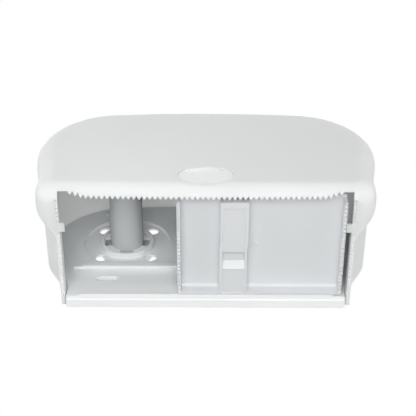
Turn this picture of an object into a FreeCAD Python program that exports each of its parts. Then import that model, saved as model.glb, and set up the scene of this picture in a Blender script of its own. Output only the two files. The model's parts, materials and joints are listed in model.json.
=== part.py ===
import FreeCAD, Part
import math
import os

# Twin toilet paper dispenser for two coreless or small-core rolls side by side.
# Millimetres. X runs to the right seen from the front, Y runs into the wall and Z is up.
# The origin is the middle of the four wall slots, on the wall plane.
# Helper sizes are given as depth, the distance out from the wall, and rise, the height above the bottom edge.

# Cover shell
COVER_DEPTH = 129.0
COVER_WALL_GAP = 0.5
WALL = 2.6
FRONT_ROUND = 18.0
TOP_RISE = 166.5
ROOF_FALL = 3.0
TOP_CROWN = 13.0
TOP_CROWN_RADIUS = 1000.0
TOP_CORNER_RADIUS = 76.0
SHOULDER_HALF = 162.3
# lower side at the wall: straight foot beside the opening, concave waist, then the side below the shoulder
REAR_FOOT_MARGIN = 0.5
REAR_FOOT_RADIUS = 5.0
REAR_WAIST_FLARE = 5.2
REAR_WAIST_RISE = 34.0
REAR_SIDE_INSET = 4.3
REAR_SIDE_RISE = 67.0
# lower side at the front, set in from the shoulder: full rolled cheek with a shallow waist above it
FRONT_CHEEK_INSET = 7.3
FRONT_CHEEK_RADIUS = 25.0
FRONT_WAIST_INSET = 8.5
FRONT_WAIST_RISE = 42.0
FRONT_SIDE_INSET = 2.0
FRONT_SIDE_RISE = 74.0
WAIST_RADIUS = 45.0
SIDE_RADIUS = 60.0
# the rear section swells into the front one over this length, some way behind the rounded front edge
SWELL_LENGTH = 24.0
SWELL_SETBACK = 13.0
# sections of the even rear part stand about this far apart
STATION_PITCH = 15.0
# the skin is drawn this far below the bottom edge and then trimmed level
EDGE_TRIM = 2.0

# Paper opening in the underside
OPENING_SIDE_MARGIN = 30.8
OPENING_FRONT_MARGIN = 4.7
LIP_RISE = 12.0
LIP_THICKNESS = 3.0
CUTTER_MARGIN = 9.7
CUTTER_BOW = 1.0
CUTTER_RAMP = 15.0
CUTTER_INSET = 9.0
TOOTH_PITCH = 4.7
TOOTH_DEPTH = 3.4
SIDE_TOOTH_PITCH = 4.2
SIDE_TOOTH_DEPTH = 1.5
SIDE_TOOTH_RIM = 0.8
TAB_SETBACK = 35.0
TAB_WIDTH = 8.5
TAB_REACH = 4.7
TAB_THICKNESS = 2.5

# Back plate
PLATE_DEPTH = 12.5
PLATE_SKIN = 2.4
PLATE_CLEARANCE = 1.2
PLATE_FOOT_STEP = 0.8
PLATE_FOOT_STEP_DEPTH = 8.6
PLATE_FOOT_RADIUS = 20.0
PLATE_CORNER_RADIUS = 1.0
PLATE_EDGE_ROUND = 1.2

# Wall slots
SLOT_SIDE_MARGIN = 36.5
SLOT_SPACING_Z = 114.0
SLOT_RISE = 29.0
SLOT_LENGTH = 21.5
SLOT_WIDTH = 7.5
SLOT_BOSS_WALL = 2.2

# Roll spindles and their bayonet sockets
SPINDLE_SIDE_MARGIN = 82.8
SPINDLE_RISE = 93.0
SPINDLE_RADIUS = 16.6
SPINDLE_TIP_RADIUS = 15.6
SPINDLE_WALL = 2.4
SPINDLE_TIP_MARGIN = 21.0
SPINDLE_TIP_ROUND = 5.0
SPINDLE_FIT = 0.06
SPINDLE_FOOT_GAP = 0.3
DISH_RADIUS = 43.3
DISH_DROP = 3.0
COLLAR_RADIUS = 26.8
COLLAR_WALL = 3.3
COLLAR_DEPTH = 15.2
COLLAR_ROUND = 0.8
KEY_RING_DEPTH = 12.4
KEY_RING_THICKNESS = 2.2
KEY_COUNT = 4
KEY_WIDTH = 13.5
KEY_REACH = 5.6
LUG_WIDTH = 11.0
LUG_REACH = 5.0
LUG_THICKNESS = 3.0
CUP_FLOOR = 1.8
DISH_HOLE_RADIUS = 6.0
DISH_HOLE_SPACING = 49.0

# Sliding shutter and its track
SHUTTER_WIDTH = 152.7
SHUTTER_RISE = 0.8
SHUTTER_PANEL_RISE = 12.0
SHUTTER_SKIN = 2.2
SHUTTER_SIDE_WALL = 3.2
SHUTTER_NOSE = 3.1
SHUTTER_PLAIN_LENGTH = 30.5
SHUTTER_GROOVE = 0.8
SHUTTER_STOP_GAP = 0.3
RUNNER_THICKNESS = 2.8
RUNNER_PLAY = 0.4
RUNNER_END_INSET = 4.0
TRACK_RISE = 45.0
TRACK_WEB = 2.4
TRACK_LIP = 3.6
TRACK_END_MARGIN = 12.0
TRACK_STUB = 2.4
SILL_RISE = 3.2
SILL_HEIGHT = 1.9
SHUTTER_COVE = 3.0
# grip bar: front band, shallow panel, finger scoop with a sloped catch, rear panel, and a small jog in its line
GRIP_WIDTH = 25.5
GRIP_OFFSET = 52.2
GRIP_WALL = 1.8
GRIP_RIM = 2.2
GRIP_BAND = 6.0
GRIP_PANEL_DROP = 1.0
GRIP_JOG = 0.8
GRIP_JOG_SETBACK = 46.6
GRIP_SCOOP_SETBACK = 53.0
GRIP_SCOOP_LENGTH = 11.1
GRIP_SCOOP_DROP = 4.6
GRIP_CATCH_LENGTH = 6.4
GRIP_REAR_RIM = 1.6
GATE_OFFSET = 72.0
GATE_RADIUS = 1.9

# Hinge at the lower rear corners
HINGE_DEPTH = 5.5
HINGE_RISE = 5.5
HINGE_PIN_RADIUS = 2.0
HINGE_PIN_LENGTH = 11.0
HINGE_FIT = 0.05
HINGE_BOSS_RADIUS = 4.4
HINGE_CORNER_GAP = 0.5

# Cam lock in the roof
LOCK_DEPTH = 34.0
LOCK_BODY_RADIUS = 9.0
LOCK_FLANGE_RADIUS = 11.5
LOCK_FLANGE_THICKNESS = 2.0
LOCK_BODY_LENGTH = 20.0
LOCK_HOLE_GAP = 0.15
LOCK_SEAT_DROP = 2.2
LOCK_PAD_RADIUS = 15.0
LOCK_PAD_THICKNESS = 4.0
LOCK_NUT_ACROSS = 22.0
LOCK_NUT_THICKNESS = 4.0
LOCK_PLUG_RADIUS = 6.0
LOCK_FIT = 0.05
LOCK_TAIL_SIDE = 6.0
LOCK_CAM_LENGTH = 18.0
LOCK_CAM_WIDTH = 9.0
LOCK_CAM_THICKNESS = 2.0
LOCK_SCREW_RADIUS = 1.6
LOCK_SCREW_HEAD_RADIUS = 3.6
LOCK_SCREW_HEAD = 2.0
KEY_SLOT_LENGTH = 7.0
KEY_SLOT_WIDTH = 1.8
KEY_SLOT_DEPTH = 6.0
KEEPER_GAP = 2.3
KEEPER_WALL = 2.4
KEEPER_REACH = 7.0

# Oval badge on the lower front
BADGE_WIDTH = 50.0
BADGE_HEIGHT = 30.0
BADGE_RISE = 26.0
BADGE_THICKNESS = 1.5
BADGE_SINK = 2.0
BADGE_GAP = 0.3
BADGE_ROUND = 0.5
BADGE_PAD = 2.0

# Values worked out from the sizes above
BASE = -(SLOT_RISE + SLOT_SPACING_Z / 2)
ROUND_START = COVER_DEPTH - FRONT_ROUND
SWELL_END = ROUND_START - SWELL_SETBACK
SWELL_START = SWELL_END - SWELL_LENGTH
OPENING_HALF = SHOULDER_HALF - OPENING_SIDE_MARGIN
OPENING_FRONT = COVER_DEPTH - OPENING_FRONT_MARGIN
CUTTER_DEPTH = COVER_DEPTH - CUTTER_MARGIN
TAB_DEPTH = CUTTER_DEPTH - TAB_SETBACK
SPINDLE_X = SHOULDER_HALF - SPINDLE_SIDE_MARGIN
SPINDLE_TIP_DEPTH = COVER_DEPTH - SPINDLE_TIP_MARGIN
STOP_HALF = OPENING_HALF - TAB_REACH
SHUTTER_RIGHT = STOP_HALF - SHUTTER_STOP_GAP
SHUTTER_LEFT = SHUTTER_RIGHT - SHUTTER_WIDTH
PLATE_FOOT_HALF = OPENING_HALF - COVER_WALL_GAP
SLOT_X = PLATE_FOOT_HALF - SLOT_SIDE_MARGIN
TRACK_HALF = PLATE_FOOT_HALF - TRACK_END_MARGIN


def vec(x, depth, rise):
    return FreeCAD.Vector(x, -depth, BASE + rise)


def block(x0, x1, depth0, depth1, rise0, rise1):
    corner = vec(min(x0, x1), max(depth0, depth1), min(rise0, rise1))
    return Part.makeBox(abs(x1 - x0), abs(depth1 - depth0), abs(rise1 - rise0), corner)


def rod(x, rise, radius, depth0, depth1):
    # cylinder square to the wall
    length = abs(depth1 - depth0)
    return Part.makeCylinder(radius, length, vec(x, max(depth0, depth1), rise), FreeCAD.Vector(0, 1, 0))


def post(x, depth, radius, rise0, rise1):
    # upright cylinder
    return Part.makeCylinder(radius, rise1 - rise0, vec(x, depth, rise0), FreeCAD.Vector(0, 0, 1))


def axle(x0, x1, depth, rise, radius):
    # cylinder along X
    return Part.makeCylinder(radius, abs(x1 - x0), vec(min(x0, x1), depth, rise), FreeCAD.Vector(1, 0, 0))


def fused(shapes):
    whole = shapes[0].multiFuse(shapes[1:])
    return whole.removeSplitter()


def mirrored(shape):
    return shape.mirror(FreeCAD.Vector(0, 0, 0), FreeCAD.Vector(1, 0, 0))


def save(shape, node):
    if not shape.isValid():
        raise ValueError("the solid of " + node + " is not valid")
    shape.exportStep("parts/" + node + ".step")
    print(node, len(shape.Solids), "solid", round(shape.Volume / 1000.0, 2), "cm3")


def closed_corners(half):
    # right half from the lower corner to the top middle, then the same corners mirrored
    left = [(-x, rise, radius) for x, rise, radius in reversed(half[:-1])]
    return half + left


def inset_corners(corners, inset):
    # moves each side inwards and turns each corner radius to suit: smaller outside, larger in a hollow
    count = len(corners)
    sides = []
    for i in range(count):
        x0, z0, _ = corners[i]
        x1, z1, _ = corners[(i + 1) % count]
        length = math.hypot(x1 - x0, z1 - z0)
        dx, dz = (x1 - x0) / length, (z1 - z0) / length
        sides.append((x0 - dz * inset, z0 + dx * inset, dx, dz))
    moved = []
    for i in range(count):
        ax, az, adx, adz = sides[i - 1]
        bx, bz, bdx, bdz = sides[i]
        turn = adx * bdz - adz * bdx
        along = ((bx - ax) * bdz - (bz - az) * bdx) / turn
        radius = corners[i][2] - inset if turn > 0 else corners[i][2] + inset
        moved.append((ax + adx * along, az + adz * along, radius))
    return moved


def corner_turn(corners, i):
    # unit directions to the neighbours, the lengths of both sides and the angle between them
    x, z, _ = corners[i]
    px, pz, _ = corners[i - 1]
    nx, nz, _ = corners[(i + 1) % len(corners)]
    back = math.hypot(px - x, pz - z)
    ahead = math.hypot(nx - x, nz - z)
    to_last = ((px - x) / back, (pz - z) / back)
    to_next = ((nx - x) / ahead, (nz - z) / ahead)
    cosine = to_last[0] * to_next[0] + to_last[1] * to_next[1]
    return to_last, to_next, back, ahead, math.acos(max(-1.0, min(1.0, cosine)))


def outline_wire(corners, depth):
    # polygon with rounded corners, drawn parallel to the wall; a side shorter than its two roundings shrinks them
    count = len(corners)
    turns = [corner_turn(corners, i) for i in range(count)]
    reaches = [corners[i][2] / math.tan(turns[i][4] / 2) for i in range(count)]
    room = [turns[i][3] / (reaches[i] + reaches[(i + 1) % count]) for i in range(count)]
    arcs = []
    for i in range(count):
        x, z, radius = corners[i]
        (ux, uz), (wx, wz), _, _, opening = turns[i]
        fit = min(1.0, 0.98 * room[i], 0.98 * room[i - 1])
        reach = reaches[i] * fit
        middle = radius * fit * (1 / math.sin(opening / 2) - 1)
        bx, bz = ux + wx, uz + wz
        size = math.hypot(bx, bz)
        start = vec(x + ux * reach, depth, z + uz * reach)
        mid = vec(x + bx / size * middle, depth, z + bz / size * middle)
        end = vec(x + wx * reach, depth, z + wz * reach)
        arcs.append((start, mid, end))
    edges = []
    for i in range(count):
        start, mid, end = arcs[i]
        edges.append(Part.Arc(start, mid, end).toShape())
        edges.append(Part.LineSegment(end, arcs[(i + 1) % count][0]).toShape())
    return Part.Wire(edges)


def blended(rear, front, share):
    return [tuple(a + (b - a) * share for a, b in zip(c, d)) for c, d in zip(rear, front)]


def cover_sections(bottom):
    # the crown's apex lies above the roof by what its rounding takes off
    apex = TOP_RISE + TOP_CROWN_RADIUS * (1 / math.cos(math.atan2(TOP_CROWN, SHOULDER_HALF)) - 1)
    foot = OPENING_HALF + LIP_THICKNESS + REAR_FOOT_MARGIN
    rear = closed_corners([
        (foot, bottom, REAR_FOOT_RADIUS),
        (foot + REAR_WAIST_FLARE, REAR_WAIST_RISE, WAIST_RADIUS),
        (SHOULDER_HALF - REAR_SIDE_INSET, REAR_SIDE_RISE, SIDE_RADIUS),
        (SHOULDER_HALF, apex - TOP_CROWN, TOP_CORNER_RADIUS),
        (0.0, apex, TOP_CROWN_RADIUS)])
    front = closed_corners([
        (SHOULDER_HALF - FRONT_CHEEK_INSET, bottom, FRONT_CHEEK_RADIUS),
        (SHOULDER_HALF - FRONT_WAIST_INSET, FRONT_WAIST_RISE, WAIST_RADIUS),
        (SHOULDER_HALF - FRONT_SIDE_INSET, FRONT_SIDE_RISE, SIDE_RADIUS),
        (SHOULDER_HALF, apex - ROOF_FALL - TOP_CROWN, TOP_CORNER_RADIUS),
        (0.0, apex - ROOF_FALL, TOP_CROWN_RADIUS)])
    return rear, front


def swell_share(depth):
    # how far the section at a depth has turned from the rear form to the front one
    way = max(0.0, min(1.0, (depth - SWELL_START) / SWELL_LENGTH))
    return way * way * (3 - 2 * way)


def cover_form(inset, bottom):
    # one smooth skin: even rear section, swelling cheeks, then the rounded edge of the front face
    rear, front = cover_sections(bottom)
    count = max(2, round((SWELL_START - COVER_WALL_GAP) / STATION_PITCH))
    even = (SWELL_START - COVER_WALL_GAP) / count
    stations = [COVER_WALL_GAP + even * i for i in range(count)]
    stations += [SWELL_START + SWELL_LENGTH / 4 * i for i in range(5)] + [ROUND_START]
    wires = []
    for depth in stations:
        corners = inset_corners(blended(rear, front, swell_share(depth)), inset)
        wires.append(outline_wire(corners, depth))
    edge_radius = FRONT_ROUND - inset
    for degrees in (22.0, 45.0, 68.0, 90.0):
        angle = math.radians(degrees)
        corners = inset_corners(front, inset + edge_radius * (1 - math.cos(angle)))
        wires.append(outline_wire(corners, ROUND_START + edge_radius * math.sin(angle)))
    return Part.makeLoft(wires, True, False)


def rear_cap(form):
    # flat face that closes a form on the wall side
    return [face for face in form.Faces if face.BoundBox.YMin > -COVER_WALL_GAP - 0.01][0]


def cover_shell(outer, inner):
    # the two skins joined by a ring along the wall
    outer_cap = rear_cap(outer)
    inner_cap = rear_cap(inner)
    faces = [face for face in outer.Faces if not face.isSame(outer_cap)]
    faces += [face for face in inner.Faces if not face.isSame(inner_cap)]
    skin = Part.makeShell(faces + outer_cap.cut(inner_cap).Faces)
    skin.sewShape()
    return Part.makeSolid(Part.Shell(skin.Faces))


def opening_prism():
    # plan of the paper opening, with the toothed tear edge at the front
    ramp_half = OPENING_HALF - CUTTER_INSET
    straight_half = ramp_half - CUTTER_RAMP
    teeth = 2 * int(ramp_half / TOOTH_PITCH)
    pitch = 2 * ramp_half / teeth

    def tear_edge(x):
        if abs(x) > straight_half:
            share = (ramp_half - abs(x)) / CUTTER_RAMP
            return OPENING_FRONT - (OPENING_FRONT - CUTTER_DEPTH - CUTTER_BOW) * share
        return CUTTER_DEPTH + CUTTER_BOW * (x / straight_half) ** 2

    rear = -COVER_WALL_GAP
    points = [vec(-OPENING_HALF, rear, 0), vec(-OPENING_HALF, OPENING_FRONT, 0)]
    for i in range(teeth):
        left = -ramp_half + pitch * i
        middle = left + pitch / 2
        points.append(vec(left, min(OPENING_FRONT, tear_edge(left) + TOOTH_DEPTH / 2), 0))
        points.append(vec(middle, tear_edge(middle) - TOOTH_DEPTH / 2, 0))
    points += [vec(ramp_half, OPENING_FRONT, 0), vec(OPENING_HALF, OPENING_FRONT, 0)]
    points.append(vec(OPENING_HALF, rear, 0))
    points.append(points[0])
    face = Part.Face(Part.makePolygon(points))
    face.translate(FreeCAD.Vector(0, 0, -WALL))
    return face.extrude(FreeCAD.Vector(0, 0, WALL + LIP_RISE))


def notch_row(x0, x1, depth0, depth1, pitch, height, rise):
    # triangular notches between small teeth along a bottom edge
    count = int((depth1 - depth0) / pitch)
    notches = []
    for i in range(count):
        start = depth0 + pitch * i
        corners = [vec(x0, start, rise), vec(x0, start + pitch, rise), vec(x0, start + pitch / 2, rise + height)]
        face = Part.Face(Part.makePolygon(corners + corners[:1]))
        notches.append(face.extrude(FreeCAD.Vector(x1 - x0, 0, 0)))
    return Part.makeCompound(notches)


def ellipse_rod(x, rise, half_width, half_height, depth0, depth1):
    curve = Part.Ellipse(vec(x + half_width, depth1, rise), vec(x, depth1, rise + half_height), vec(x, depth1, rise))
    face = Part.Face(Part.Wire(curve.toShape()))
    return face.extrude(FreeCAD.Vector(0, depth1 - depth0, 0))


def roof_rise():
    # height of the roof's outer face above the lock
    return TOP_RISE - ROOF_FALL * swell_share(LOCK_DEPTH)


def lock_seat_rise():
    return roof_rise() - LOCK_SEAT_DROP


def front_cover():
    trim = block(-SHOULDER_HALF, SHOULDER_HALF, 0, COVER_DEPTH, -2 * EDGE_TRIM, 0)
    outer = cover_form(0.0, -EDGE_TRIM)
    shell = cover_shell(outer, cover_form(WALL, 0.0)).cut(trim)
    outer = outer.cut(trim)
    # turned-down lip along both sides of the opening
    lip = block(OPENING_HALF, OPENING_HALF + LIP_THICKNESS, COVER_WALL_GAP, COVER_DEPTH, 0, LIP_RISE)
    lip = lip.common(outer)
    tab = block(STOP_HALF, OPENING_HALF + LIP_THICKNESS, TAB_DEPTH, TAB_DEPTH + TAB_WIDTH, 0, TAB_THICKNESS)
    seat = lock_seat_rise()
    pad = post(0, LOCK_DEPTH, LOCK_PAD_RADIUS, seat - LOCK_PAD_THICKNESS, roof_rise() - WALL / 2)
    badge_floor = COVER_DEPTH - BADGE_SINK
    backing = ellipse_rod(0, BADGE_RISE, BADGE_WIDTH / 2 + BADGE_PAD, BADGE_HEIGHT / 2 + BADGE_PAD,
                          badge_floor - WALL, COVER_DEPTH)
    backing = backing.common(outer)
    shell = shell.cut(opening_prism())
    shell = fused([shell, lip, mirrored(lip), tab, mirrored(tab), pad, backing])
    # notched lower edge of the side lips, clear of the stop tabs
    x0, x1 = OPENING_HALF + SIDE_TOOTH_RIM, OPENING_HALF + LIP_THICKNESS - SIDE_TOOTH_RIM
    behind = notch_row(x0, x1, HINGE_DEPTH * 2, TAB_DEPTH, SIDE_TOOTH_PITCH, SIDE_TOOTH_DEPTH, 0)
    ahead = notch_row(x0, x1, TAB_DEPTH + TAB_WIDTH, CUTTER_DEPTH, SIDE_TOOTH_PITCH, SIDE_TOOTH_DEPTH, 0)
    cuts = [behind, mirrored(behind), ahead, mirrored(ahead)]
    # hinge bores, and the heel rounded about the hinge so that it clears the wall
    heel_radius = HINGE_DEPTH - HINGE_CORNER_GAP
    reach = (OPENING_HALF - 1, SHOULDER_HALF)
    bore = axle(reach[0], reach[1], HINGE_DEPTH, HINGE_RISE, HINGE_PIN_RADIUS + HINGE_FIT)
    heel = block(reach[0], reach[1], -COVER_WALL_GAP, HINGE_DEPTH, -WALL, HINGE_RISE)
    heel = heel.cut(axle(reach[0], reach[1], HINGE_DEPTH, HINGE_RISE, heel_radius))
    cuts += [bore, mirrored(bore), heel, mirrored(heel)]
    # lock seat and hole, and the badge pocket
    cuts.append(post(0, LOCK_DEPTH, LOCK_FLANGE_RADIUS + 1, seat, roof_rise() + 1))
    cuts.append(post(0, LOCK_DEPTH, LOCK_BODY_RADIUS + LOCK_HOLE_GAP, seat - 2 * LOCK_PAD_THICKNESS, seat + 1))
    cuts.append(ellipse_rod(0, BADGE_RISE, BADGE_WIDTH / 2 + BADGE_GAP, BADGE_HEIGHT / 2 + BADGE_GAP,
                            badge_floor, COVER_DEPTH + 1))
    for tool in cuts:
        shell = shell.cut(tool)
    return shell


def badge():
    floor = COVER_DEPTH - BADGE_SINK
    plate = ellipse_rod(0, BADGE_RISE, BADGE_WIDTH / 2, BADGE_HEIGHT / 2, floor, floor + BADGE_THICKNESS)
    front = [e for e in plate.Edges if abs(e.BoundBox.YMax + floor + BADGE_THICKNESS) < 1e-6]
    return plate.makeFillet(BADGE_ROUND, front)


def plate_form(inset, depth0, depth1):
    # the cover's inner outline at the wall, less the running clearance
    rear, _ = cover_sections(0.0)
    half = inset_corners(rear, WALL + PLATE_CLEARANCE)[1:5]
    # straight foot, as high as the cover's side lip swings about the hinge
    swing = math.hypot(HINGE_DEPTH, LIP_RISE - HINGE_RISE)
    foot = [(PLATE_FOOT_HALF, 0.0, PLATE_CORNER_RADIUS + inset),
            (PLATE_FOOT_HALF, HINGE_RISE + swing + PLATE_CLEARANCE, PLATE_FOOT_RADIUS)]
    corners = inset_corners(closed_corners(foot + half), inset)
    return Part.Face(outline_wire(corners, depth1)).extrude(FreeCAD.Vector(0, depth1 - depth0, 0))


def slot_rod(x, rise, length, width, depth0, depth1):
    half = (length - width) / 2
    bar = block(x - half, x + half, depth0, depth1, rise - width / 2, rise + width / 2)
    ends = [rod(x + side * half, rise, width / 2, depth0, depth1) for side in (-1, 1)]
    return fused([bar] + ends)


def slot_places():
    low = SLOT_RISE
    high = SLOT_RISE + SLOT_SPACING_Z
    return [(side * SLOT_X, rise) for rise in (low, high) for side in (-1, 1)]


def spoke(x, rise, angle, reach, width, depth0, depth1):
    # radial bar from a spindle's axis
    bar = block(x, x + reach, depth0, depth1, rise - width / 2, rise + width / 2)
    bar.rotate(vec(x, 0, rise), FreeCAD.Vector(0, 1, 0), angle)
    return bar


def keeper():
    # hook that the lock's tongue turns behind
    inner = LOCK_FLANGE_RADIUS
    outer = inner + KEEPER_REACH
    top = cam_rise() + LOCK_CAM_THICKNESS + KEEPER_GAP
    lip = LOCK_DEPTH + LOCK_CAM_WIDTH / 2 + KEEPER_GAP
    roof = block(inner, outer, PLATE_DEPTH - PLATE_SKIN / 2, lip + KEEPER_WALL, top, top + KEEPER_WALL)
    nose = block(inner, outer, lip, lip + KEEPER_WALL, cam_rise() - KEEPER_GAP, top + KEEPER_WALL)
    return fused([roof, nose])


def back_plate():
    body = plate_form(0.0, 0.0, PLATE_DEPTH)
    rim = [edge for edge in body.Edges if edge.BoundBox.YMax < -PLATE_DEPTH + 0.01]
    body = body.makeFillet(PLATE_EDGE_ROUND, rim)
    body = body.cut(plate_form(PLATE_SKIN, -1.0, PLATE_DEPTH - PLATE_SKIN))
    dish_depth = PLATE_DEPTH - DISH_DROP
    added, removed = [], []
    for side in (-1, 1):
        x = side * SPINDLE_X
        rise = SPINDLE_RISE
        bowl = rod(x, rise, DISH_RADIUS + PLATE_SKIN, dish_depth - PLATE_SKIN, PLATE_DEPTH - PLATE_SKIN / 2)
        collar = rod(x, rise, COLLAR_RADIUS, 0.0, COLLAR_DEPTH)
        crest = [edge for edge in collar.Edges if edge.BoundBox.YMax < -COLLAR_DEPTH + 0.01]
        added += [bowl, collar.makeFillet(COLLAR_ROUND, crest)]
        cup = COLLAR_RADIUS - COLLAR_WALL
        ring_back = KEY_RING_DEPTH - KEY_RING_THICKNESS
        removed.append(rod(x, rise, DISH_RADIUS, dish_depth, COLLAR_DEPTH + 1).cut(
            rod(x, rise, COLLAR_RADIUS, dish_depth, COLLAR_DEPTH + 1)))
        removed.append(rod(x, rise, cup, KEY_RING_DEPTH, COLLAR_DEPTH + 1))
        removed.append(rod(x, rise, cup, CUP_FLOOR, ring_back))
        removed.append(rod(x, rise, SPINDLE_RADIUS + SPINDLE_FIT, CUP_FLOOR, COLLAR_DEPTH))
        for i in range(KEY_COUNT):
            angle = 360.0 / KEY_COUNT * i
            removed.append(spoke(x, rise, angle, SPINDLE_RADIUS + KEY_REACH, KEY_WIDTH, CUP_FLOOR, COLLAR_DEPTH))
        for sx in (-1, 1):
            for sz in (-1, 1):
                half = DISH_HOLE_SPACING / 2
                removed.append(rod(x + sx * half, rise + sz * half, DISH_HOLE_RADIUS, 0, PLATE_DEPTH))
    for x, rise in slot_places():
        added.append(slot_rod(x, rise, SLOT_LENGTH + 2 * SLOT_BOSS_WALL, SLOT_WIDTH + 2 * SLOT_BOSS_WALL,
                              0.0, PLATE_DEPTH - PLATE_SKIN / 2))
        removed.append(slot_rod(x, rise, SLOT_LENGTH, SLOT_WIDTH, -1.0, PLATE_DEPTH + 1))
    # track for the shutter: hooked rail above, sill below
    lip_back = PLATE_DEPTH + 2 * RUNNER_PLAY + RUNNER_THICKNESS
    root = PLATE_DEPTH - PLATE_SKIN / 2
    added.append(block(-TRACK_HALF, TRACK_HALF, root, lip_back + TRACK_WEB, TRACK_RISE, TRACK_RISE + TRACK_WEB))
    added.append(block(-TRACK_HALF, TRACK_HALF, lip_back, lip_back + TRACK_WEB, TRACK_RISE - TRACK_LIP,
                       TRACK_RISE + TRACK_WEB))
    added.append(block(-PLATE_FOOT_HALF + PLATE_SKIN, PLATE_FOOT_HALF - PLATE_SKIN, root, PLATE_DEPTH + TRACK_STUB,
                       TRACK_RISE, TRACK_RISE + TRACK_WEB))
    added.append(block(-TRACK_HALF, TRACK_HALF, root, PLATE_DEPTH + SILL_HEIGHT, PLATE_FOOT_STEP, SILL_RISE))
    added.append(keeper())
    # hinge bosses inside the rim
    boss_inner = PLATE_FOOT_HALF - HINGE_PIN_LENGTH
    for side in (-1, 1):
        added.append(axle(side * boss_inner, side * (PLATE_FOOT_HALF - PLATE_SKIN / 2), HINGE_DEPTH, HINGE_RISE,
                          HINGE_BOSS_RADIUS))
        removed.append(axle(side * pin_inner(), side * (PLATE_FOOT_HALF + 1), HINGE_DEPTH, HINGE_RISE,
                            HINGE_PIN_RADIUS + HINGE_FIT / 2))
    removed.append(block(-PLATE_FOOT_HALF, PLATE_FOOT_HALF, PLATE_FOOT_STEP_DEPTH, PLATE_DEPTH + 1, -1,
                         PLATE_FOOT_STEP))
    body = fused([body] + added)
    for tool in removed:
        body = body.cut(tool)
    return body


def pin_inner():
    return pin_outer() - HINGE_PIN_LENGTH


def pin_outer():
    return OPENING_HALF + LIP_THICKNESS


def hinge_pin():
    return axle(pin_inner(), pin_outer(), HINGE_DEPTH, HINGE_RISE, HINGE_PIN_RADIUS)


def spindle(side):
    x = side * SPINDLE_X
    foot = CUP_FLOOR + SPINDLE_FOOT_GAP
    ring_front = COLLAR_DEPTH
    inner = SPINDLE_RADIUS - SPINDLE_WALL
    tip_inner = SPINDLE_TIP_RADIUS - SPINDLE_WALL
    tip = SPINDLE_TIP_DEPTH
    bend = SPINDLE_TIP_ROUND
    corner = bend * (1 - math.sqrt(0.5))

    def at(radius, depth):
        return vec(x + radius, depth, SPINDLE_RISE)

    edges = [
        Part.LineSegment(at(inner, foot), at(SPINDLE_RADIUS, foot)),
        Part.LineSegment(at(SPINDLE_RADIUS, foot), at(SPINDLE_RADIUS, ring_front)),
        Part.LineSegment(at(SPINDLE_RADIUS, ring_front), at(SPINDLE_TIP_RADIUS, tip - bend)),
        Part.Arc(at(SPINDLE_TIP_RADIUS, tip - bend), at(SPINDLE_TIP_RADIUS - corner, tip - corner),
                 at(SPINDLE_TIP_RADIUS - bend, tip)),
        Part.LineSegment(at(SPINDLE_TIP_RADIUS - bend, tip), at(0, tip)),
        Part.LineSegment(at(0, tip), at(0, tip - SPINDLE_WALL)),
        Part.LineSegment(at(0, tip - SPINDLE_WALL), at(tip_inner, tip - bend)),
        Part.LineSegment(at(tip_inner, tip - bend), at(inner, foot))]
    wire = Part.Wire([edge.toShape() for edge in edges])
    tube = Part.Face(wire).revolve(vec(x, 0, SPINDLE_RISE), FreeCAD.Vector(0, 1, 0), 360)
    lug_front = KEY_RING_DEPTH - KEY_RING_THICKNESS - SPINDLE_FOOT_GAP
    lugs = []
    for i in range(KEY_COUNT):
        angle = 360.0 / KEY_COUNT * (i + 0.5)
        lug = spoke(x, SPINDLE_RISE, angle, SPINDLE_RADIUS + LUG_REACH, LUG_WIDTH, lug_front - LUG_THICKNESS,
                    lug_front)
        lugs.append(lug.cut(rod(x, SPINDLE_RISE, inner + SPINDLE_WALL / 2, 0, lug_front + 1)))
    return fused([tube] + lugs)


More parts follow.
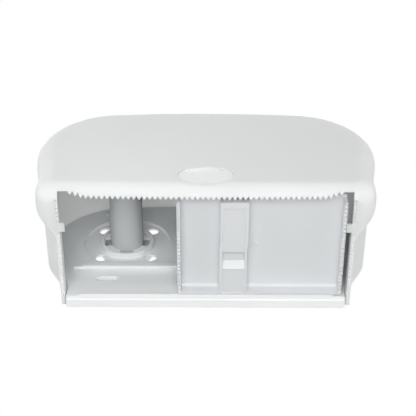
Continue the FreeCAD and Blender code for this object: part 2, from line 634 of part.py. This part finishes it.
def shutter():
    left, right = SHUTTER_LEFT, SHUTTER_RIGHT
    top = SHUTTER_PANEL_RISE + SHUTTER_SKIN
    rear = PLATE_DEPTH + SILL_HEIGHT + RUNNER_PLAY
    nose = CUTTER_DEPTH - TOOTH_DEPTH / 2 - SHUTTER_NOSE
    panel = block(left, right, rear, nose + SHUTTER_NOSE, SHUTTER_PANEL_RISE, top)
    back = block(left, right, rear, rear + SHUTTER_SKIN, SHUTTER_RISE, top)
    sides = [block(left, left + SHUTTER_SIDE_WALL, rear, nose, SHUTTER_RISE, top),
             block(right - SHUTTER_SIDE_WALL, right, rear, nose, SHUTTER_RISE, top)]
    runner_back = PLATE_DEPTH + RUNNER_PLAY
    runner = block(left + RUNNER_END_INSET, right - RUNNER_END_INSET, runner_back, runner_back + RUNNER_THICKNESS,
                   SILL_RISE + RUNNER_PLAY, TRACK_RISE - RUNNER_PLAY)
    # soft corner between the panel and the rear wall
    bend = rear + SHUTTER_SKIN + SHUTTER_COVE
    cove = block(left, right, rear + SHUTTER_SKIN / 2, bend, SHUTTER_PANEL_RISE - SHUTTER_COVE, top)
    cove = cove.cut(axle(left, right, bend, SHUTTER_PANEL_RISE - SHUTTER_COVE, SHUTTER_COVE))
    # grip bar, hollow from above, with its rear part set over by the jog
    x0 = left + GRIP_OFFSET - GRIP_WIDTH / 2
    x1 = x0 + GRIP_WIDTH
    jog = nose - GRIP_JOG_SETBACK
    grip = [block(x0, x1, jog, nose, SHUTTER_RISE, top),
            block(x0 - GRIP_JOG, x1 - GRIP_JOG, rear, jog, SHUTTER_RISE, top)]
    hollow = block(x0 + GRIP_WALL, x1 - GRIP_JOG - GRIP_WALL, rear + SHUTTER_SKIN, nose - GRIP_WALL,
                   SHUTTER_RISE + GRIP_SCOOP_DROP + GRIP_WALL, top + 1)
    # shallow panels in its underside and the finger scoop between them
    scoop = nose - GRIP_SCOOP_SETBACK
    crease = scoop - GRIP_SCOOP_LENGTH
    catch = crease - GRIP_CATCH_LENGTH
    floor = SHUTTER_RISE + GRIP_PANEL_DROP
    deep = SHUTTER_RISE + GRIP_SCOOP_DROP
    below = SHUTTER_RISE - 1
    x2, x3 = x0 + GRIP_RIM, x1 - GRIP_RIM - GRIP_JOG
    panels = [block(x2, x3, scoop, nose - GRIP_BAND, below, floor),
              block(x2, x3, rear + GRIP_REAR_RIM, catch - GRIP_PANEL_DROP, below, floor)]
    profile = [vec(x2, scoop, below), vec(x2, scoop, deep), vec(x2, crease, deep), vec(x2, catch, SHUTTER_RISE),
               vec(x2, catch, below)]
    profile = Part.Face(Part.makePolygon(profile + profile[:1]))
    panels.append(profile.extrude(FreeCAD.Vector(x3 - x2, 0, 0)))
    gate = post(left + GATE_OFFSET, (rear + nose) / 2, GATE_RADIUS, SHUTTER_PANEL_RISE - GATE_RADIUS / 2,
                SHUTTER_PANEL_RISE + SHUTTER_SKIN / 2)
    body = fused([panel, back, cove, runner, gate] + grip + sides)
    for tool in [hollow] + panels:
        body = body.cut(tool)
    # notches along both side walls; the free side's wall runs out in a plain groove
    plain = nose - SHUTTER_PLAIN_LENGTH
    for side, front in ((left, plain), (right - SHUTTER_SIDE_WALL, nose)):
        body = body.cut(notch_row(side + SIDE_TOOTH_RIM, side + SHUTTER_SIDE_WALL - SIDE_TOOTH_RIM,
                                  rear + SHUTTER_SKIN, front, SIDE_TOOTH_PITCH, SIDE_TOOTH_DEPTH, SHUTTER_RISE))
    return body.cut(block(left + SIDE_TOOTH_RIM, left + SHUTTER_SIDE_WALL - SIDE_TOOTH_RIM, plain, nose + 1,
                          below, SHUTTER_RISE + SHUTTER_GROOVE))


def lock_bottom():
    return lock_seat_rise() - LOCK_BODY_LENGTH


def cam_rise():
    return lock_bottom() - LOCK_CAM_THICKNESS - LOCK_FIT


def lock_body():
    seat = lock_seat_rise()
    body = post(0, LOCK_DEPTH, LOCK_BODY_RADIUS, lock_bottom(), seat)
    flange = post(0, LOCK_DEPTH, LOCK_FLANGE_RADIUS, seat, seat + LOCK_FLANGE_THICKNESS)
    bore = post(0, LOCK_DEPTH, LOCK_PLUG_RADIUS + LOCK_FIT, lock_bottom() - 1, seat + LOCK_FLANGE_THICKNESS + 1)
    return fused([body, flange]).cut(bore)


def lock_nut():
    top = lock_seat_rise() - LOCK_PAD_THICKNESS
    radius = LOCK_NUT_ACROSS / math.sqrt(3)
    points = [vec(radius * math.cos(math.pi / 3 * i), LOCK_DEPTH + radius * math.sin(math.pi / 3 * i),
                  top - LOCK_NUT_THICKNESS) for i in range(7)]
    hexagon = Part.Face(Part.makePolygon(points)).extrude(FreeCAD.Vector(0, 0, LOCK_NUT_THICKNESS))
    return hexagon.cut(post(0, LOCK_DEPTH, LOCK_BODY_RADIUS + LOCK_FIT, top - 2 * LOCK_NUT_THICKNESS, top + 1))


def lock_plug():
    top = lock_seat_rise() + LOCK_FLANGE_THICKNESS
    plug = post(0, LOCK_DEPTH, LOCK_PLUG_RADIUS, lock_bottom(), top)
    half = LOCK_TAIL_SIDE / 2
    tail = block(-half, half, LOCK_DEPTH - half, LOCK_DEPTH + half, cam_rise(), lock_bottom() + 1)
    slot = block(-KEY_SLOT_WIDTH / 2, KEY_SLOT_WIDTH / 2, LOCK_DEPTH - KEY_SLOT_LENGTH / 2,
                 LOCK_DEPTH + KEY_SLOT_LENGTH / 2, top - KEY_SLOT_DEPTH, top + 1)
    thread = post(0, LOCK_DEPTH, LOCK_SCREW_RADIUS + LOCK_FIT, cam_rise() - 1, top - 2 * KEY_SLOT_DEPTH)
    return fused([plug, tail]).cut(slot).cut(thread)


def lock_cam():
    # tongue that points at the wall while the cover is free to open
    low = cam_rise()
    half = LOCK_CAM_WIDTH / 2
    tip = LOCK_DEPTH - LOCK_CAM_LENGTH + half
    blade = block(-half, half, tip, LOCK_DEPTH, low, low + LOCK_CAM_THICKNESS)
    ends = [post(0, LOCK_DEPTH, half + 1, low, low + LOCK_CAM_THICKNESS),
            post(0, tip, half, low, low + LOCK_CAM_THICKNESS)]
    hole = LOCK_TAIL_SIDE / 2 + LOCK_FIT
    square = block(-hole, hole, LOCK_DEPTH - hole, LOCK_DEPTH + hole, low - 1, low + LOCK_CAM_THICKNESS + 1)
    return fused([blade] + ends).cut(square)


def cam_screw():
    low = cam_rise()
    head = post(0, LOCK_DEPTH, LOCK_SCREW_HEAD_RADIUS, low - LOCK_SCREW_HEAD, low)
    shank = post(0, LOCK_DEPTH, LOCK_SCREW_RADIUS, low - LOCK_SCREW_HEAD / 2, lock_bottom() + 2)
    return fused([head, shank])


os.makedirs("parts", exist_ok=True)
save(back_plate(), "back_plate")
save(hinge_pin(), "hinge_pin_right")
save(mirrored(hinge_pin()), "hinge_pin_left")
save(spindle(-1), "spindle_left")
save(spindle(1), "spindle_right")
save(shutter(), "shutter")
save(front_cover(), "front_cover")
save(badge(), "badge")
save(lock_body(), "lock_body")
save(lock_nut(), "lock_nut")
save(lock_plug(), "lock_plug")
save(lock_cam(), "lock_cam")
save(cam_screw(), "cam_screw")
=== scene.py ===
# %% [markdown]
# # A twin toilet paper dispenser, dressed for its portrait
# The real object is a washroom fitting in white moulded plastic: a wall plate, a domed cover that
# swings down, two roll spindles and a shutter that slides across half of the paper opening. Every
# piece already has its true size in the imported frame, so this lesson adds what the eye reads next:
# smooth moulded skins, the grain of each finish, soft light and the camera below the opening.

# %% Load the frame
import json
import math

import bpy
from mathutils import Matrix, Vector


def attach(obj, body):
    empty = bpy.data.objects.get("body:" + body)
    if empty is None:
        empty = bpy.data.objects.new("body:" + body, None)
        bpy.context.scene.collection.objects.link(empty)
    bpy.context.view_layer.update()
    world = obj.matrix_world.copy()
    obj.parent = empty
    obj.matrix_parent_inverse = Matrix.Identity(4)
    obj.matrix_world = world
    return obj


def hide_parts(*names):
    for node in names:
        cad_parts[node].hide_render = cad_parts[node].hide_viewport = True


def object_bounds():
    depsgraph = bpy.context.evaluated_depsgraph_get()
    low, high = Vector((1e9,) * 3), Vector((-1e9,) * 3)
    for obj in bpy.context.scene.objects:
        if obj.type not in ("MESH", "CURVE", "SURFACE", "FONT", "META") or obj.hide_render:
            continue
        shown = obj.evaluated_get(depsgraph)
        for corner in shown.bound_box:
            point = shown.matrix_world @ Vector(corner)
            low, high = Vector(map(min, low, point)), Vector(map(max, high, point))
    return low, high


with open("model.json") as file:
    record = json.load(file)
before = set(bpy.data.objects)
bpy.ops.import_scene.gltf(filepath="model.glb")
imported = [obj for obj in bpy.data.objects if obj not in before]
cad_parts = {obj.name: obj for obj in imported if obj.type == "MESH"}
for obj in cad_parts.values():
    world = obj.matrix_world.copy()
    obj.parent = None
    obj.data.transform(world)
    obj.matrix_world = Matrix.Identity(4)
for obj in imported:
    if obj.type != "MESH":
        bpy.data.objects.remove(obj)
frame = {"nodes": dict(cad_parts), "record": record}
cad_low, cad_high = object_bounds()
print("frame:", len(frame["nodes"]), "nodes, size in mm", [round(1000 * s) for s in cad_high - cad_low])

# %% [markdown]
# ## Writing shader maths as sums
# Node trees are quick to wire by hand for one finish and slow for eight of them. One could copy a
# node group from file to file, but a small class that wraps a socket reads better: plus, minus and
# times add the Math nodes, and one method adds any other node.

# %% A socket that can be added and multiplied
class Wire:
    """An output socket that takes part in Python sums."""

    def __init__(self, tree, socket):
        self.tree = tree
        self.socket = socket

    def sum_with(self, operation, first, second):
        return self.tree.node("ShaderNodeMath", {"operation": operation}, {0: first, 1: second})

    def __add__(self, other):
        return self.sum_with("ADD", self, other)

    def __radd__(self, other):
        return self.sum_with("ADD", other, self)

    def __sub__(self, other):
        return self.sum_with("SUBTRACT", self, other)

    def __mul__(self, other):
        return self.sum_with("MULTIPLY", self, other)


class Tree:
    """A node tree whose nodes are added by one method."""

    def __init__(self, node_tree):
        self.node_tree = node_tree

    def feed(self, socket, value):
        if isinstance(value, Wire):
            self.node_tree.links.new(value.socket, socket)
        else:
            socket.default_value = value

    def node(self, kind, settings=None, sockets=None, output=0):
        made = self.node_tree.nodes.new(kind)
        for name, value in (settings or {}).items():
            if name == "stops":
                for stop, (place, grey) in zip(made.color_ramp.elements, value):
                    stop.position = place
                    stop.color = (grey, grey, grey, 1)
            else:
                setattr(made, name, value)
        for name, value in (sockets or {}).items():
            self.feed(made.inputs[name], value)
        return Wire(self, made.outputs[output])

    def blend(self, share, first, second):
        """Colour between two colours."""
        return self.node("ShaderNodeMix", {"data_type": "RGBA"}, {0: share, 6: first, 7: second}, 2)


print("shader helpers ready")

# %% [markdown]
# ## Satin moulded plastic
# The cover, plate, shutter and spindles are injection moulded in white. Their tools are spark
# eroded, which leaves a fine even grain, and the shots cool unevenly, which leaves broad, hardly
# visible clouds in gloss and tint. A plain white shader looks like card, so the finish has the
# grain as bump, the clouds as roughness, faint handling scuffs, and rounded normals along each
# edge, because a moulding has no razor edges. The cover's wall is thin and lets a little light
# through, which softens the shade inside. A glass-like shader would do that too, but scattering
# under the surface keeps the milky look of the plastic.

# %% Finish for the white mouldings
MILLIMETRE = 0.001
GRAIN_PER_METRE = 1500.0
GRAIN_HEIGHT = 0.05 * MILLIMETRE
PITS_PER_METRE = 0.6 * GRAIN_PER_METRE
GRAIN_GLOSS = 0.10
CLOUDS_PER_METRE = 11.0
CLOUD_SHADE = 0.965
CLOUD_WARMTH = 0.992
CLOUD_GLOSS = 0.12
SCUFFS_PER_METRE = 45.0
SCUFF_GLOSS = 0.06
SCUFF_STRETCH = (1.0, 6.0, 9.0)
SCUFF_EDGES = [(0.62, 0.0), (0.74, 1.0)]
EDGE_SAMPLES = 6
PLASTIC_IOR = 1.5
SCATTER_LENGTH = 0.03


def shade(value, tint=(1.0, 1.0, 1.0)):
    return tuple(value * part for part in tint) + (1,)


def new_finish(name):
    material = bpy.data.materials.new(name)
    material.use_nodes = True
    tree = Tree(material.node_tree)
    return material, tree, material.node_tree.nodes["Principled BSDF"]


def soft_edges(tree, radius):
    """Normals that turn gently over each edge."""
    return tree.node("ShaderNodeBevel", {"samples": EDGE_SAMPLES}, {"Radius": radius})


def moulded_plastic(name, bright, tint, roughness, edge_round, scatter=0.0):
    material, tree, shader = new_finish(name)
    place = tree.node("ShaderNodeTexCoord", output="Object")
    grain = tree.node("ShaderNodeTexNoise", {}, {
        "Vector": place, "Scale": GRAIN_PER_METRE, "Detail": 2.0, "Roughness": 0.6})
    pits = tree.node("ShaderNodeTexVoronoi", {"feature": "F1"}, {
        "Vector": place, "Scale": PITS_PER_METRE})
    clouds = tree.node("ShaderNodeTexNoise", {}, {
        "Vector": place, "Scale": CLOUDS_PER_METRE, "Detail": 3.0, "Roughness": 0.55})
    along = tree.node("ShaderNodeMapping", {}, {"Vector": place, "Scale": SCUFF_STRETCH})
    scuff_noise = tree.node("ShaderNodeTexNoise", {}, {
        "Vector": along, "Scale": SCUFFS_PER_METRE, "Detail": 4.0, "Roughness": 0.7})
    scuffs = tree.node("ShaderNodeValToRGB", {"stops": SCUFF_EDGES}, {"Fac": scuff_noise})
    deep = shade(bright * CLOUD_SHADE, (tint[0], tint[1], tint[2] * CLOUD_WARMTH))
    tree.feed(shader.inputs["Base Color"], tree.blend(clouds, deep, shade(bright, tint)))
    uneven = roughness + (clouds - 0.5) * CLOUD_GLOSS + (grain - 0.5) * GRAIN_GLOSS
    tree.feed(shader.inputs["Roughness"], uneven + scuffs * SCUFF_GLOSS)
    bump = tree.node("ShaderNodeBump", {}, {
        "Strength": 0.22, "Distance": GRAIN_HEIGHT,
        "Height": grain * 0.7 + pits * 0.3, "Normal": soft_edges(tree, edge_round)})
    tree.feed(shader.inputs["Normal"], bump)
    shader.inputs["IOR"].default_value = PLASTIC_IOR
    shader.inputs["Subsurface Weight"].default_value = scatter
    shader.inputs["Subsurface Radius"].default_value = (1.0, 1.0, 1.0)
    shader.inputs["Subsurface Scale"].default_value = SCATTER_LENGTH
    return material


COOL_WHITE = (0.955, 0.98, 1.0)
NEUTRAL_WHITE = (0.975, 0.995, 1.0)
WARM_WHITE = (1.0, 0.998, 0.992)
MOULDINGS = {
    "cover_plastic": {
        "bright": 0.90, "tint": NEUTRAL_WHITE, "roughness": 0.54,
        "edge_round": 0.5 * MILLIMETRE, "scatter": 0.45},
    "plate_plastic": {
        "bright": 0.93, "tint": NEUTRAL_WHITE, "roughness": 0.48, "edge_round": 0.4 * MILLIMETRE},
    # The shutter is the same white moulding as the cover; its lower brightness is painted shade,
    # darkened to the shaded tone it shows in the opening.
    "shutter_plastic": {
        "bright": 0.74, "tint": COOL_WHITE, "roughness": 0.45, "edge_round": 0.4 * MILLIMETRE},
    # The spindles are the same white moulding as the plate; their grey brightness is painted shade, the
    # darker tone they show inside the cover.
    "spindle_plastic": {
        "bright": 0.63, "tint": COOL_WHITE, "roughness": 0.46, "edge_round": 0.4 * MILLIMETRE},
}
finishes = {name: moulded_plastic(name, **look) for name, look in MOULDINGS.items()}
print("white mouldings:", sorted(finishes))

# %% [markdown]
# ## Badge, chrome and plated steel
# The oval badge is a glossy clear-coated plate, the lock's face is chromed, and the small steel
# pieces behind it are zinc plated. One function makes all the metals, and they differ by the scale
# and direction of their marks: the chrome has fine wipe marks, the plated pieces a mottled bloom,
# and the drawn hinge pins have marks along their length.

# %% Finishes for the small pieces
BADGE_EDGE = 0.3 * MILLIMETRE
BADGE_CLOUDS_PER_METRE = 60.0
BADGE_RIPPLES_PER_METRE = 420.0
BADGE_RIPPLE = 0.06 * MILLIMETRE
METAL_EDGE = 0.25 * MILLIMETRE
METAL_MARK_DEPTH = 0.02 * MILLIMETRE
BLOOM_PER_METRE = 500.0


def glossy_badge(name):
    material, tree, shader = new_finish(name)
    place = tree.node("ShaderNodeTexCoord", output="Object")
    clouds = tree.node("ShaderNodeTexNoise", {}, {
        "Vector": place, "Scale": BADGE_CLOUDS_PER_METRE, "Detail": 3.0})
    tree.feed(shader.inputs["Base Color"], tree.blend(clouds, shade(0.76), shade(0.80, WARM_WHITE)))
    tree.feed(shader.inputs["Roughness"], 0.22 + clouds * 0.12)
    peel = tree.node("ShaderNodeTexNoise", {}, {
        "Vector": place, "Scale": BADGE_RIPPLES_PER_METRE, "Detail": 1.0})
    bump = tree.node("ShaderNodeBump", {}, {
        "Strength": 0.12, "Distance": BADGE_RIPPLE, "Height": peel,
        "Normal": soft_edges(tree, BADGE_EDGE)})
    tree.feed(shader.inputs["Normal"], bump)
    shader.inputs["Coat Weight"].default_value = 0.5
    shader.inputs["Coat Roughness"].default_value = 0.08
    return material


def plated_metal(name, bright, tint, roughness, marks_per_metre, stretch):
    material, tree, shader = new_finish(name)
    place = tree.node("ShaderNodeTexCoord", output="Object")
    along = tree.node("ShaderNodeMapping", {}, {"Vector": place, "Scale": stretch})
    marks = tree.node("ShaderNodeTexNoise", {}, {
        "Vector": along, "Scale": marks_per_metre, "Detail": 4.0, "Roughness": 0.65})
    bloom = tree.node("ShaderNodeTexVoronoi", {"feature": "F1"}, {
        "Vector": place, "Scale": BLOOM_PER_METRE})
    tree.feed(shader.inputs["Base Color"], tree.blend(
        marks * 0.7 + bloom * 0.3, shade(bright * 0.88, tint), shade(bright, tint)))
    tree.feed(shader.inputs["Roughness"], roughness + (marks - 0.5) * 0.16)
    bump = tree.node("ShaderNodeBump", {}, {
        "Strength": 0.15, "Distance": METAL_MARK_DEPTH, "Height": marks,
        "Normal": soft_edges(tree, METAL_EDGE)})
    tree.feed(shader.inputs["Normal"], bump)
    shader.inputs["Metallic"].default_value = 1.0
    return material


EVEN = (1.0, 1.0, 1.0)
DRAWN_LENGTHWISE = (0.1, 1.0, 1.0)
METALS = {
    "lock_chrome": {
        "bright": 0.80, "tint": (1.0, 1.0, 1.01), "roughness": 0.16,
        "marks_per_metre": 900.0, "stretch": EVEN},
    "lock_steel": {
        "bright": 0.62, "tint": (0.98, 1.0, 1.0), "roughness": 0.36,
        "marks_per_metre": 700.0, "stretch": EVEN},
    "pin_steel": {
        "bright": 0.60, "tint": (1.0, 1.0, 1.0), "roughness": 0.30,
        "marks_per_metre": 600.0, "stretch": DRAWN_LENGTHWISE},
}
finishes["badge_plastic"] = glossy_badge("badge_plastic")
finishes.update({name: plated_metal(name, **look) for name, look in METALS.items()})
print("all finishes:", len(finishes))

# %% [markdown]
# ## Smooth skins over the solids
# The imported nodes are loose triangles, which shade as flat facets. A moulding's curved walls run on
# smoothly, so each piece gets a copy whose triangles are merged, whose flat faces are each made one
# face, and whose normals are smooth up to a real corner. Shading the solids themselves would be
# shorter, but loose triangles can't be smoothed. The copy stands exactly where its solid stands and
# moves with the same body.

# %% Merged and smoothed copies
MERGE_DISTANCE = 0.005 * MILLIMETRE
SMOOTH_UP_TO = math.radians(32)
FLAT_WITHIN = math.radians(0.3)
slot_of = {part["node"]: part["material_slot"] for part in frame["record"]["subparts"]}
bodies = frame["record"]["behaviour"]["bodies"]
body_of = {node: body for body, nodes in bodies.items() for node in nodes}


def smooth_skin(node):
    bpy.ops.object.select_all(action="DESELECT")
    skin = bpy.data.objects.new(node + "_skin", frame["nodes"][node].data.copy())
    bpy.context.scene.collection.objects.link(skin)
    bpy.context.view_layer.objects.active = skin
    skin.select_set(True)
    bpy.ops.object.mode_set(mode="EDIT")
    bpy.ops.mesh.select_all(action="SELECT")
    bpy.ops.mesh.remove_doubles(threshold=MERGE_DISTANCE)
    bpy.ops.mesh.dissolve_limited(angle_limit=FLAT_WITHIN)
    bpy.ops.object.mode_set(mode="OBJECT")
    bpy.ops.mesh.customdata_custom_splitnormals_clear()
    bpy.ops.object.shade_smooth_by_angle(angle=SMOOTH_UP_TO)
    skin.data.materials.clear()
    skin.data.materials.append(finishes[slot_of[node]])
    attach(skin, body_of[node])
    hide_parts(node)
    return skin


skins = {node: smooth_skin(node) for node in sorted(frame["nodes"])}
for node, skin in skins.items():
    print(node, "skin:", len(skin.data.vertices), "vertices,", len(skin.data.polygons), "faces")

# %% [markdown]
# ## Floor, light and white surround
# The dispenser hangs on a wall, so the floor lies well below it. A light tent is how such fittings
# are photographed: a soft key beside the camera, a fill under the opening, weaker boxes in front,
# above, behind and at both sides, and an even white surround. Floor and surround are white to the
# camera and to reflections, and dimmer as lights, so the white plastic keeps its shading instead of
# burning out.

# %% Studio
FLOOR_DROP = 2.4
FLOOR_WIDTH = 7.0
FLOOR_WHITENESS = 0.8
SURROUND_LIGHT = 0.29
SOFT_BOXES = {
    "key_beside_camera": {"place": (-0.2, -1.1, -1.35), "width": 1.0, "power": 14.5},
    "fill_below": {"place": (0.2, -0.95, -1.45), "width": 1.0, "power": 5.5},
    "front": {"place": (-0.5, -1.9, 0.2), "width": 1.4, "power": 5.5},
    "above": {"place": (-0.2, 0.1, 1.7), "width": 1.6, "power": 10.0},
    "behind": {"place": (0.2, 1.8, 0.3), "width": 1.6, "power": 12.0},
    "side_left": {"place": (-1.7, -0.4, -0.2), "width": 1.2, "power": 9.5},
    "side_right": {"place": (1.7, -0.4, -0.2), "width": 1.2, "power": 12.0},
}


def backdrop_share(tree):
    """One for rays that show the backdrop, and zero for rays that only carry its light."""
    rays = tree.node_tree.nodes.new("ShaderNodeLightPath")
    seen = Wire(tree, rays.outputs["Is Camera Ray"]) + Wire(tree, rays.outputs["Is Glossy Ray"])
    seen = seen + Wire(tree, rays.outputs["Is Transmission Ray"])
    return tree.node("ShaderNodeMath", {"operation": "MINIMUM"}, {0: seen, 1: 1.0})


def pale_floor():
    bpy.ops.object.select_all(action="DESELECT")
    bpy.ops.mesh.primitive_plane_add(size=FLOOR_WIDTH, location=(0, -0.6, -FLOOR_DROP))
    floor = bpy.context.active_object
    floor.name = "studio_floor"
    bpy.ops.object.mode_set(mode="EDIT")
    bpy.ops.mesh.subdivide(number_cuts=6)
    bpy.ops.object.mode_set(mode="OBJECT")
    bpy.ops.object.transform_apply(location=True)
    material, tree, shader = new_finish("pale_floor")
    place = tree.node("ShaderNodeTexCoord", output="Object")
    patches = tree.node("ShaderNodeTexNoise", {}, {"Vector": place, "Scale": 3.0, "Detail": 4.0})
    tree.feed(shader.inputs["Base Color"], tree.blend(patches, shade(0.80), shade(0.84)))
    tree.feed(shader.inputs["Roughness"], 0.6 + patches * 0.2)
    lit = Wire(tree, shader.outputs["BSDF"])
    white = tree.node("ShaderNodeEmission", {}, {"Color": shade(1.0), "Strength": 1.0})
    share = backdrop_share(tree) * FLOOR_WHITENESS
    surface = tree.node("ShaderNodeMixShader", {}, {0: share, 1: lit, 2: white})
    tree.feed(material.node_tree.nodes["Material Output"].inputs["Surface"], surface)
    floor.data.materials.append(material)
    return floor


def soft_box(name, place, aim, width, power):
    bpy.ops.object.light_add(type="AREA", location=place)
    lamp = bpy.context.active_object
    lamp.name = name
    lamp.data.size = width
    lamp.data.energy = power
    lamp.rotation_euler = (Vector(aim) - Vector(place)).to_track_quat("-Z", "Y").to_euler()
    return lamp


def white_surround():
    world = bpy.data.worlds.new("white_surround")
    bpy.context.scene.world = world
    world.use_nodes = True
    tree = Tree(world.node_tree)
    background = world.node_tree.nodes["Background"]
    background.inputs["Color"].default_value = shade(1.0)
    strength = SURROUND_LIGHT + backdrop_share(tree) * (1.0 - SURROUND_LIGHT)
    tree.feed(background.inputs["Strength"], strength)


floor = pale_floor()
white_surround()
middle = (cad_low + cad_high) / 2
lamps = [soft_box(name, aim=middle, **box) for name, box in SOFT_BOXES.items()]
bpy.context.scene.view_settings.view_transform = "Standard"
print("studio: floor at", floor.data.vertices[0].co.z, "with", len(lamps), "soft boxes")

# %% [markdown]
# ## Camera
# The portrait looks up into the opening from below and in front. The straight edges of the opening
# gave the viewing angle: about 58 degrees under the horizon, almost square on, from a metre away,
# with a hair of tilt.

# %% Camera below the opening
VIEW_DISTANCE = 1.0
VIEW_RISE = math.radians(58.5)
VIEW_TILT = math.radians(0.2)
VIEW_AIM = Vector((0.002, -0.065, -0.0126))
FRAME_PIXELS = 416
FOCAL_PIXELS = 1030.0
SENSOR_WIDTH = 36.0


def portrait_camera():
    bpy.ops.object.camera_add()
    camera = bpy.context.active_object
    camera.name = "portrait_camera"
    ahead = Vector((0, math.cos(VIEW_RISE), math.sin(VIEW_RISE)))
    right = Vector((1, 0, 0))
    up = right.cross(ahead)
    leaned_right = right * math.cos(VIEW_TILT) + up * math.sin(VIEW_TILT)
    leaned_up = up * math.cos(VIEW_TILT) - right * math.sin(VIEW_TILT)
    turn = Matrix((leaned_right, leaned_up, -ahead)).transposed()
    camera.matrix_world = Matrix.Translation(VIEW_AIM - ahead * VIEW_DISTANCE) @ turn.to_4x4()
    camera.data.sensor_width = SENSOR_WIDTH
    camera.data.lens = FOCAL_PIXELS / FRAME_PIXELS * SENSOR_WIDTH
    bpy.context.scene.camera = camera
    return camera


camera = portrait_camera()
print("camera at", [round(part, 3) for part in camera.location], "lens", round(camera.data.lens, 1))
